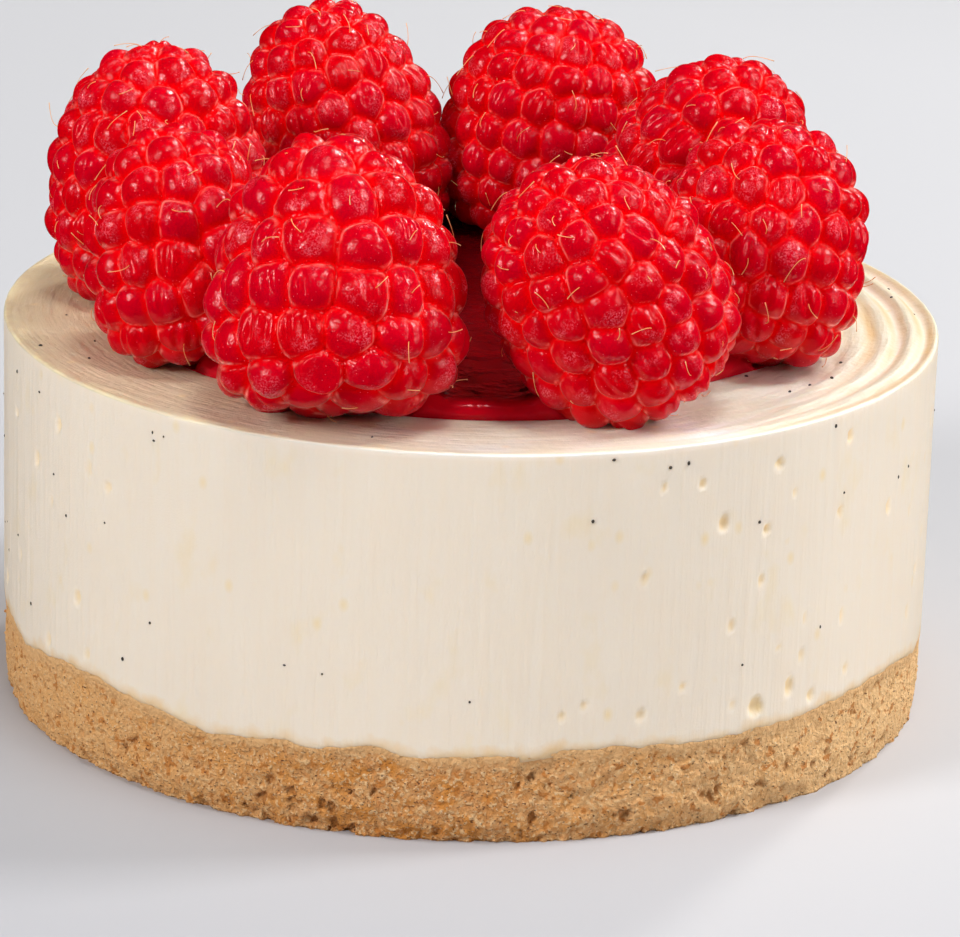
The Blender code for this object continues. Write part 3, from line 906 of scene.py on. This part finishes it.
def make_jam(material, berries):
    """A flat pool with a round edge that climbs a little up each berry and dips to a film under it."""
    angles = np.linspace(0, 2 * math.pi, JAM_COLUMNS, endpoint=False)
    fine = JAM_FINE * (layered_noise(placed_round(6.0, 0.0, angles), 61) - 0.5)
    outline = jam_outline(angles) + fine
    foot = CAKE_HEIGHT
    share = 1 - np.linspace(0, 1, JAM_ROWS)[:, None] ** JAM_ROW_POWER
    inset = outline * (1 - share)
    edge = np.sqrt(np.clip(1 - (1 - np.clip(inset / JAM_EDGE, 0, 1)) ** 2, 0, 1))
    flat = placed_round(outline * share[:-1], 0.0, angles, JAM_CENTRE_Y)
    gap = berry_clearance(flat, berries)
    climb = JAM_CLIMB * np.exp(-np.clip(gap, 0, 1) / JAM_CLIMB_WIDTH)
    inside = eased(gap, -2.2 * MM, -1.2 * MM)
    slow = JAM_SLOW * (layered_noise(flat / MM / 5.0, 62) - 0.5)
    height = (JAM_THICKNESS - 0.1 * MM) * edge[:-1] + (climb + slow) * edge[:-1]
    top = flat.copy()
    top[..., 2] = foot + JAM_FILM + np.clip(height, 0, None) * inside
    low = foot - 0.1 * MM
    under = [placed_round(outline * part, low, angles, JAM_CENTRE_Y)[None] for part in (0.5, 0.98)]
    rings = np.concatenate(under + [top])
    thickness = (rings[..., 2] - foot) / JAM_THICKNESS
    thin = np.ones(rings.shape[:2])
    thin[len(under) :] = 1 - eased(inset[:-1], 0.4 * MM, 2.5 * MM)
    values = {"thin": np.clip(thin * 0.9 + 0.4 * (thickness < 0.5), 0, 1)}
    piece = turned_piece("jam_pool", rings, material, values)
    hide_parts("jam")
    return piece


# Raspberries

def thimble(turn_down, radius, half_length, narrowing):
    """Radius and height of the berry's outline, where turn_down runs from 0 at the tip to pi at the stem end.

    They are the radius times a power of the sine of turn_down, less towards the tip by narrowing times its
    cosine, and the half length times a power of the cosine, which keeps its sign.
    """
    power = np.where(np.cos(turn_down) > 0, SHOULDER_POWER, BASE_POWER)
    across = radius * np.abs(np.sin(turn_down)) ** power * (1 - narrowing * np.cos(turn_down))
    along = half_length * np.sign(np.cos(turn_down)) * np.abs(np.cos(turn_down)) ** END_POWER
    return across, along


class Berry:
    """One raspberry's outline, its drupelets and its place on the cake."""

    def __init__(self, name, numbers, seed):
        self.name = name
        x, y, radius, half_length, pitch, self.unevenness, self.narrowing, lean, way, turn = numbers
        self.radius, self.half_length, self.pitch = radius * MM, half_length * MM, pitch * MM
        self.random = np.random.default_rng(seed)
        turn_down = np.linspace(0, math.pi, 400)
        self.across, self.along = thimble(turn_down, self.radius, self.half_length, self.narrowing)
        step = np.hypot(np.diff(self.across), np.diff(self.along))
        self.path = np.concatenate([[0], np.cumsum(step)])
        tip = Matrix.Rotation(math.radians(way), 3, "Z") @ Matrix.Rotation(math.radians(lean), 3, "Y")
        self.turned = np.array(tip @ Matrix.Rotation(math.radians(turn - way), 3, "Z"))
        tilt = math.radians(lean)
        plain = self.radius * np.sin(turn_down) ** SHOULDER_POWER * (1 - FOOT_NARROWING * np.cos(turn_down))
        lowest = float((self.along * math.cos(tilt) - plain * math.sin(tilt)).min())
        self.middle = np.array([x * MM, y * MM, CAKE_HEIGHT - SINK - lowest])
        self.plan_drupelets()

    def place(self, points):
        """Points of the upright berry, leant and moved to its place."""
        return points @ self.turned.T + self.middle

    def outline(self, distance, angle):
        """Points on the outline at a distance from the tip along it, their normals and ways to the tip."""
        across = np.interp(distance, self.path, self.across)
        along = np.interp(distance, self.path, self.along)
        step = self.path[-1] / 200
        ahead, behind = distance + step, distance - step
        slope_across = np.interp(ahead, self.path, self.across) - np.interp(behind, self.path, self.across)
        slope_along = np.interp(ahead, self.path, self.along) - np.interp(behind, self.path, self.along)
        cosine, sine = np.cos(angle), np.sin(angle)
        points = np.stack([across * cosine, across * sine, along + 0 * angle], -1)
        normal = unit(np.stack([-slope_along * cosine, -slope_along * sine, slope_across + 0 * angle], -1))
        to_tip = unit(np.stack([-slope_across * cosine, -slope_across * sine, -slope_along + 0 * angle], -1))
        return points, normal, to_tip

    def plan_drupelets(self):
        """Rows of drupelets from the tip down, each shifted about half a step from the last."""
        random, total = self.random, self.path[-1]
        row_count = round(total / (self.pitch * ROW_SPACING))
        distance, angle = [], []
        phase = 0.0
        for row in range(row_count):
            middle = (row + 0.5) * total / row_count
            reach = np.interp(middle, self.path, self.across)
            count = max(3, round(2 * math.pi * reach / self.pitch))
            step = 2 * math.pi / count
            phase += step / 2 + ROW_TWIST * step * random.random()
            loose = LOOSE_PLACE * self.unevenness
            distance.append(middle + self.pitch * loose * random.uniform(-1, 1, count))
            angle.append(phase + step * (np.arange(count) + loose * random.uniform(-1, 1, count)))
        self.distance, self.angle = np.concatenate(distance), np.concatenate(angle)
        count = len(self.distance)
        self.crowns, self.normals, self.to_tip = self.outline(self.distance, self.angle)
        self.round_way = np.cross(self.to_tip, self.normals)
        spread = LOOSE_SIZE * self.unevenness
        self.wide = self.pitch * DRUPELET_WIDE * (1 + spread * random.uniform(-1, 1, count))
        self.tall = self.pitch * DRUPELET_TALL * (1 + spread * random.uniform(-1, 1, count))
        self.lift = self.pitch * LOOSE_LIFT * self.unevenness * random.uniform(-1, 1, count)
        self.tilt = random.uniform(-LOOSE_TILT, LOOSE_TILT, (count, 2))
        folded = random.random(count) < FOLD_SHARE
        self.fold = np.where(folded, random.uniform(*FOLD_DEPTHS, count), 0.0) * self.pitch
        self.fold_place = random.uniform(-0.2, 0.2, count)
        self.fold_slant = random.uniform(-0.3, 0.3, count)
        self.number = random.random(count)

    def relief(self, points):
        """Height of the lobes, how near points are to a crease, their lobe's number, and the band where its
        painted sheen outline goes.

        Each point belongs to the drupelet with the nearest crown, with distances in half widths and half
        heights of the drupelets. With t as half the distance to the next crown less half that to the
        nearest, from 0 in a crease to 1 at the crown, a lobe rises by EDGE_DEPTH times
        sqrt(1 - (1 - t)^2), which is steep at its sides, and falls by DOME_DEPTH times the square of the
        distance from its crown. The next crown is a soft minimum over the others, so that a lobe's
        corners are round. Folds are hollows with a bell's section across a slanted line.
        """
        shape = (len(points),)
        nearest, owner, total = np.full(shape, 9.0), np.zeros(shape, dtype=int), np.zeros(shape)
        x_own, y_own = np.zeros(shape), np.zeros(shape)
        for index in range(len(self.crowns)):
            offset = points - self.crowns[index]
            x = offset @ self.round_way[index] / self.wide[index]
            y = offset @ self.to_tip[index] / self.tall[index]
            z = offset @ self.normals[index] / self.tall[index]
            reach = np.sqrt(x * x + y * y + z * z)
            closer = reach < nearest
            owner, nearest = np.where(closer, index, owner), np.minimum(nearest, reach)
            x_own, y_own = np.where(closer, x, x_own), np.where(closer, y, y_own)
            total += np.exp(-reach / CORNER_SOFTNESS)
        others = np.maximum(total - np.exp(-nearest / CORNER_SOFTNESS), 1e-30)
        share = np.clip((-CORNER_SOFTNESS * np.log(others) - nearest) / 2, 0, 1)
        height = self.pitch * (EDGE_DEPTH * (np.sqrt(1 - (1 - share) ** 2) - 1) - DOME_DEPTH * nearest**2)
        full = 1 - (1 - share) ** 2
        line = x_own - self.fold_place[owner] - self.fold_slant[owner] * y_own
        line = np.where(self.number[owner] < TWO_FOLDS_SHARE, np.abs(line) - FOLD_SPREAD, line)
        height -= self.fold[owner] * np.exp(-((line / FOLD_WIDTH) ** 2)) * full * eased(y_own, -0.9, 0.1)
        slope = x_own * self.tilt[owner, 0] + y_own * self.tilt[owner, 1]
        height += full * (self.lift[owner] + 0.5 * self.pitch * slope)
        # The band near each lobe's edge that the material paints with a pale sheen outline
        outline = np.exp(-(((share - SHEEN_OUTLINE_PLACE) / SHEEN_OUTLINE_WIDTH) ** 2))
        return height + SWELL, 1 - eased(share, 0, 0.3), self.number[owner], outline

    def ring_at(self, level):
        """The plain outline's cut at one height: its middle in plan, and its reach for angles round it."""
        turn_down, angle = np.meshgrid(np.linspace(0, math.pi, 240), np.linspace(0, 2 * math.pi, 240))
        across, along = thimble(turn_down, self.radius, self.half_length, self.narrowing)
        upright = np.stack([across * np.cos(angle), across * np.sin(angle), along], -1)
        points = self.place(upright.reshape(-1, 3))
        near = points[np.abs(points[:, 2] - level) < 0.25 * MM]
        middle = near[:, :2].mean(axis=0)
        offset = near[:, :2] - middle
        turn = np.arctan2(offset[:, 1], offset[:, 0])
        order = np.argsort(turn)
        return middle, (turn[order], np.hypot(*offset.T)[order] - 0.35 * MM)


def make_raspberry(berry, material):
    """Rings from the stem end to the tip, pushed out by the relief and pressed level on the filling."""
    total = berry.path[-1]
    distance = total * (1 - (np.arange(BERRY_ROWS) + 0.5) / BERRY_ROWS)
    angle = np.linspace(0, 2 * math.pi, BERRY_COLUMNS, endpoint=False)
    distance, angle = np.broadcast_arrays(distance[:, None], angle)
    points, normals, _ = berry.outline(distance, angle)
    relief = berry.relief(points.reshape(-1, 3))
    height, crease, lobe, outline = (value.reshape(distance.shape) for value in relief)
    uneven = LOBE_GRAIN * (layered_noise(points / MM / 0.9, 71) - 0.5)
    rings = berry.place(points + normals * (height + uneven)[..., None])
    rings[..., 2] = np.clip(rings[..., 2], CAKE_HEIGHT - 0.05 * MM, solid_box[1][2])
    rings[..., 1] = np.maximum(rings[..., 1], 0.02 * MM - CAKE_RADIUS)
    values = {"crease": crease, "lobe": lobe, "outline": outline}
    piece = turned_piece(berry.name + "_lobes", rings, material, values)
    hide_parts(berry.name)
    return piece


def thread_tubes(paths, radii, sides):
    """Closed tubes, rings square to many paths: paths is count x steps x 3, and radii count x steps."""
    tangent = unit(np.gradient(paths, axis=1))
    steep = np.abs(tangent[:, :1, 2:]) >= 0.8
    helper = np.where(steep, np.array([1.0, 0.0, 0.0]), np.array([0.0, 0.0, 1.0]))
    first = unit(np.cross(tangent, helper))
    second = np.cross(tangent, first)
    angle = np.linspace(0, 2 * math.pi, sides, endpoint=False)[:, None]
    rings = first[:, :, None] * np.cos(angle) + second[:, :, None] * np.sin(angle)
    rings = paths[:, :, None] + rings * radii[:, :, None, None]
    count, steps = paths.shape[:2]
    ends = np.stack([paths[:, 0], paths[:, -1]], 1)
    return np.concatenate([rings.reshape(count, steps * sides, 3), ends], 1), turned_faces(steps, sides)


# Styles: their grid, the share of drupelets that keep one, and the radii of the thread and of its knob
STYLE_STEPS = 9
STYLE_SIDES = 5
STYLE_SHARE = 0.48
STYLE_RADIUS = 0.038 * MM
KNOB_RADIUS = 0.045 * MM


def make_styles(berries, material):
    """The dried thread on about half of the drupelets: a bent path from the crown, with a knob at its tip."""
    paths = []
    random = np.random.default_rng(81)
    share = np.linspace(0, 1, STYLE_STEPS)[:, None]
    for berry in berries:
        for crown, normal, lift in zip(berry.crowns, berry.normals, berry.lift):
            kept, length, lay, turn, bend, side = random.random(6)
            if kept > STYLE_SHARE:
                continue
            around = unit(np.cross(normal, random.uniform(-1, 1, 3)))
            across = np.cross(normal, around)
            start = crown + normal * (lift - 0.15 * MM) + around * berry.pitch * 0.30 * (2 * turn - 1)
            reach = (0.9 + 1.3 * length) * MM
            leaving = unit(normal * (0.25 + 0.75 * lay) + around * 0.8)
            bending = across * (2.6 * bend - 1.3) - normal * 0.8 * side
            path = start + reach * (leaving * share + bending * share**2)
            paths.append(berry.place(path))
    paths = np.array(paths)
    highest = solid_box[1][2] - 0.1 * MM
    over = np.clip(paths[..., 2].max(axis=1) - highest, 0, None)
    paths[..., 2] -= over[:, None] * share[:, 0] ** 0.5
    kept = paths[..., 2].min(axis=1) > CAKE_HEIGHT + 0.2 * MM
    kept &= paths[..., 2].max(axis=1) < highest + 0.05 * MM
    kept &= np.hypot(paths[..., 0], paths[..., 1]).max(axis=1) < CAKE_RADIUS
    paths = paths[kept]
    along = np.linspace(0, 1, STYLE_STEPS)
    radii = STYLE_RADIUS * (1 - 0.35 * along) + KNOB_RADIUS * np.exp(-(((along - 0.95) / 0.06) ** 2))
    radii = np.broadcast_to(radii, paths.shape[:2])
    shapes, faces = thread_tubes(paths, radii, STYLE_SIDES)
    one = np.concatenate([np.repeat(along, STYLE_SIDES), [0.0, 1.0]])
    values = {"along": np.tile(one, len(paths))}
    return scattered_piece("raspberry_styles", shapes, faces, material, values)


# Small things in and on the cream

# Vanilla seeds that show at the front: on the wall, angle in degrees and height in millimetres, and on
# the top, angle and radius. Then how many others there are, between which angles
FRONT_SEEDS = (
    (-133.7, 11.6), (-129.2, 15.8), (-110.6, 14.9), (-106.0, 14.6), (-137.0, 23.4), (-129.0, 33.0),
    (-128.8, 32.3), (-127.3, 32.9), (-88.9, 13.1), (-75.5, 29.0), (-55.5, 14.4), (-43.1, 15.9),
    (-39.9, 27.6), (-54.0, 27.1), (-64.1, 33.4), (-66.4, 33.2), (-73.3, 34.3), (-42.2, 34.0),
    (-23.4, 26.8), (-26.7, 26.5),
)
TOP_SEEDS = ((-101.7, 39.4), (-38.4, 35.4), (-36.6, 30.1), (-21.4, 35.2), (-33.7, 35.6), (-29.3, 36.3))
OTHER_SEEDS = 60
OTHER_TOP_SEEDS = 30
OTHER_SEED_ANGLES = (-15, 215)

# Loose crumbs: how many, the share at the foot and their half sizes in millimetres
LOOSE_CRUMBS = 420
FOOT_CRUMBS = 0.4
CRUMB_SIZES = (0.12, 0.28)


def wall_places(angles, heights):
    """Points on the wall at angles in degrees and heights in mm, with their outward, round and up ways."""
    turn = np.radians(angles)
    out = np.stack([np.cos(turn), np.sin(turn), 0 * turn], -1)
    round_way = np.stack([-np.sin(turn), np.cos(turn), 0 * turn], -1)
    up = np.broadcast_to([0.0, 0.0, 1.0], out.shape)
    points = out * (CAKE_RADIUS - 0.15 * MM)
    points[:, 2] = heights * MM
    return points, out, round_way, up


def top_places(angles, radii):
    """Points on the top at angles in degrees and radii in mm, with their upward, round and inward ways."""
    turn = np.radians(angles)
    out = np.stack([0 * turn, 0 * turn, 0 * turn + 1], -1)
    round_way = np.stack([-np.sin(turn), np.cos(turn), 0 * turn], -1)
    inward = -np.stack([np.cos(turn), np.sin(turn), 0 * turn], -1)
    points = -inward * (radii * MM)[:, None]
    points[:, 2] = CAKE_HEIGHT + ridge_relief(radii * MM, turn) - 0.02 * MM
    return points, out, round_way, inward


def ovals(places, sizes, columns=8, rows=5):
    """Small ovals at places, each with half sizes round, up and outward in millimetres."""
    points, out, round_way, up = places
    ball, quads, triangles = small_ball(columns, rows)
    sizes = sizes[:, None, :] * MM
    across = ball[None, :, 0:1] * sizes[..., 0:1] * round_way[:, None]
    along = ball[None, :, 1:2] * sizes[..., 1:2] * up[:, None]
    proud = ball[None, :, 2:3] * sizes[..., 2:3] * out[:, None]
    return points[:, None] + across + along + proud, (quads, triangles)


def make_seeds(material):
    """Vanilla seeds: small dark ovals, those that show and others round the wall and on the top."""
    random = np.random.default_rng(91)
    shown, shown_top = np.array(FRONT_SEEDS), np.array(TOP_SEEDS)
    angles = np.concatenate([shown[:, 0], random.uniform(*OTHER_SEED_ANGLES, OTHER_SEEDS)])
    heights = np.concatenate([shown[:, 1], random.uniform(9.5, 33.5, OTHER_SEEDS)])
    wall = wall_places(angles, heights)
    top_angles = np.concatenate([shown_top[:, 0], random.uniform(*OTHER_SEED_ANGLES, OTHER_TOP_SEEDS)])
    top_radii = np.concatenate([shown_top[:, 1], random.uniform(31, 41.3, OTHER_TOP_SEEDS)])
    top = top_places(top_angles, top_radii)
    places = tuple(np.concatenate(pair) for pair in zip(wall, top))
    total = len(places[0])
    across, along = random.uniform(0.10, 0.19, total), random.uniform(0.11, 0.22, total)
    sizes = np.stack([across, along, np.full(total, 0.12)], -1)
    shapes, faces = ovals(places, sizes)
    return scattered_piece("vanilla_seeds", shapes, faces, material)


def make_crumbs(material):
    """Loose crumbs on the crust's wall and along its foot: balls pushed in and out by noise."""
    random = np.random.default_rng(93)
    angles = random.uniform(-180, 180, LOOSE_CRUMBS)
    low = random.random(LOOSE_CRUMBS) < FOOT_CRUMBS
    size = random.uniform(*CRUMB_SIZES, LOOSE_CRUMBS)
    heights = np.where(low, size * 0.7, random.uniform(0.6, 6.0, LOOSE_CRUMBS))
    points, out, round_way, up = wall_places(angles, heights)
    reach, _, _ = crust_reach(np.radians(angles), heights * MM)
    points[:, :2] = out[:, :2] * (reach - 0.35 * size * MM)[:, None]
    sizes = size[:, None] * random.uniform(0.7, 1.2, (LOOSE_CRUMBS, 3))
    shapes, faces = ovals((points, out, round_way, up), sizes, 10, 7)
    lumpy = 1 + 0.7 * (value_noise(shapes / MM / 0.3, 94) - 0.5)
    shapes = points[:, None] + (shapes - points[:, None]) * lumpy[..., None]
    shapes[..., 2] = np.maximum(shapes[..., 2], 0.0)
    size_one = shapes.shape[1]
    values = {
        "lump": np.repeat(random.random(LOOSE_CRUMBS), size_one),
        "pit_shade": np.zeros(LOOSE_CRUMBS * size_one),
        "under_cream": np.full(LOOSE_CRUMBS * size_one, 6.0),
    }
    return scattered_piece("loose_crumbs", shapes, faces, material, values)


# Stage

CAMERA_PLACE = (0.0, -414.95 * MM, 156.49 * MM)
CAMERA_RIGHT = (0.99953, 0.00696, 0.02982)
CAMERA_UP = (-0.03050, 0.31275, 0.94935)
CAMERA_LENS = 178.02
FLOOR_SIZE = 3.0
FLOOR_NEAR = (0.465, 0.466, 0.485)
# Painted light: the paler floor colour behind the cake and to the right, and where the change runs in
# millimetres
FLOOR_PAINTED_LIGHT = (0.60, 0.60, 0.615)
FLOOR_LIGHT_CHANGE = (-60.0, 300.0)
SUN_WAY = 62
SUN_HEIGHT = 38
SUN_WIDTH = 7
SKY_STRENGTH = 0.22


def make_camera():
    """The photograph's own view: a long lens from the front, 18.5 degrees above the middle of the cake."""
    data = bpy.data.cameras.new("camera")
    data.lens = CAMERA_LENS
    data.sensor_width = 36.0
    data.clip_start = 10 * MM
    camera = bpy.data.objects.new("camera", data)
    right, up = np.array(CAMERA_RIGHT), np.array(CAMERA_UP)
    back = np.cross(right, up)
    turned = Matrix(np.stack([right, up, back], -1).tolist()).to_4x4()
    camera.matrix_world = Matrix.Translation(CAMERA_PLACE) @ turned
    bpy.context.scene.collection.objects.link(camera)
    bpy.context.scene.camera = camera


def make_floor():
    """A plain pale floor, with painted light making it a little paler behind the cake and to the right."""
    points = [(x * FLOOR_SIZE, y * FLOOR_SIZE, 0.0) for x, y in ((-1, -1), (1, -1), (1, 1), (-1, 1))]
    mesh = bpy.data.meshes.new("floor")
    mesh.from_pydata(points, [], [(0, 1, 2, 3)])
    finish = Finish("floor", FLOOR_NEAR, 0.7)
    split = add_node(finish.tree, "ShaderNodeSeparateXYZ")
    join(finish.tree, finish.place, split.inputs["Vector"])
    # Painted light: paler towards the back and the right
    behind = finish.maths("ADD", split.outputs["Y"], finish.maths("MULTIPLY", split.outputs["X"], 0.8))
    finish.tint(finish.ranged(behind, *FLOOR_LIGHT_CHANGE), FLOOR_PAINTED_LIGHT)
    mesh.materials.append(finish.finished())
    floor = bpy.data.objects.new("floor", mesh)
    floor.visible_glossy = False
    bpy.context.scene.collection.objects.link(floor)


def add_light(name, kind, way, height, distance, energy, colour, size):
    """A lamp that looks at the cake from a way round it and a height above the floor, both in degrees."""
    data = bpy.data.lights.new(name, kind)
    data.energy = energy
    data.color = colour
    if kind == "SUN":
        data.angle = math.radians(size)
    else:
        data.shape = "RECTANGLE"
        data.size, data.size_y = size
    light = bpy.data.objects.new(name, data)
    turn, rise = math.radians(way), math.radians(height)
    out = np.array([math.cos(turn) * math.cos(rise), math.sin(turn) * math.cos(rise), math.sin(rise)])
    aim = Matrix.Translation(tuple(out * distance + np.array([0, 0, CAKE_HEIGHT])))
    look = Matrix.Rotation(turn + math.pi / 2, 4, "Z") @ Matrix.Rotation(math.pi / 2 - rise, 4, "X")
    light.matrix_world = aim @ look
    bpy.context.scene.collection.objects.link(light)


# Soft boxes round the cake: way and height in degrees, power, width and height in metres, and how far off
# they all stand
BOX_DISTANCE = 1.1
SOFT_BOXES = {
    "left": (-145, 30, 7.5, 0.26, 0.26),
    "right": (-30, 25, 3.8, 0.45, 0.45),
    "window": (12, 42, 6.2, 0.2, 0.3),
    "overhead": (-65, 75, 4.8, 0.26, 0.26),
}


def make_lights():
    """A low sun from the back right, with soft boxes and a faint pale sky all round."""
    add_light("key", "SUN", SUN_WAY, SUN_HEIGHT, 1.0, 1.0, (1.0, 0.96, 0.90), SUN_WIDTH)
    for name, (way, height, power, width, tall) in SOFT_BOXES.items():
        add_light(name, "AREA", way, height, BOX_DISTANCE, power, (0.99, 0.99, 1.0), (width, tall))
    world = bpy.data.worlds.new("sky")
    world.use_nodes = True
    background = world.node_tree.nodes["Background"]
    background.inputs["Color"].default_value = (0.93, 0.96, 1.0, 1.0)
    background.inputs["Strength"].default_value = SKY_STRENGTH
    world.cycles_visibility.glossy = False
    bpy.context.scene.world = world


def main():
    """The stage, then the cake from the crust up."""
    make_camera()
    make_floor()
    make_lights()
    bpy.context.scene.view_settings.view_transform = "Standard"
    table = enumerate(RASPBERRIES.items(), start=1)
    berries = [Berry(name, numbers, seed) for seed, (name, numbers) in table]
    biscuit, cream, jam = biscuit_finish(), cream_finish(), jam_finish()
    red = raspberry_finish()
    make_crust(biscuit)
    make_filling(cream)
    make_jam(jam, berries)
    for berry in berries:
        make_raspberry(berry, red)
    make_styles(berries, style_finish())
    make_seeds(seed_finish())
    make_crumbs(biscuit)


main()
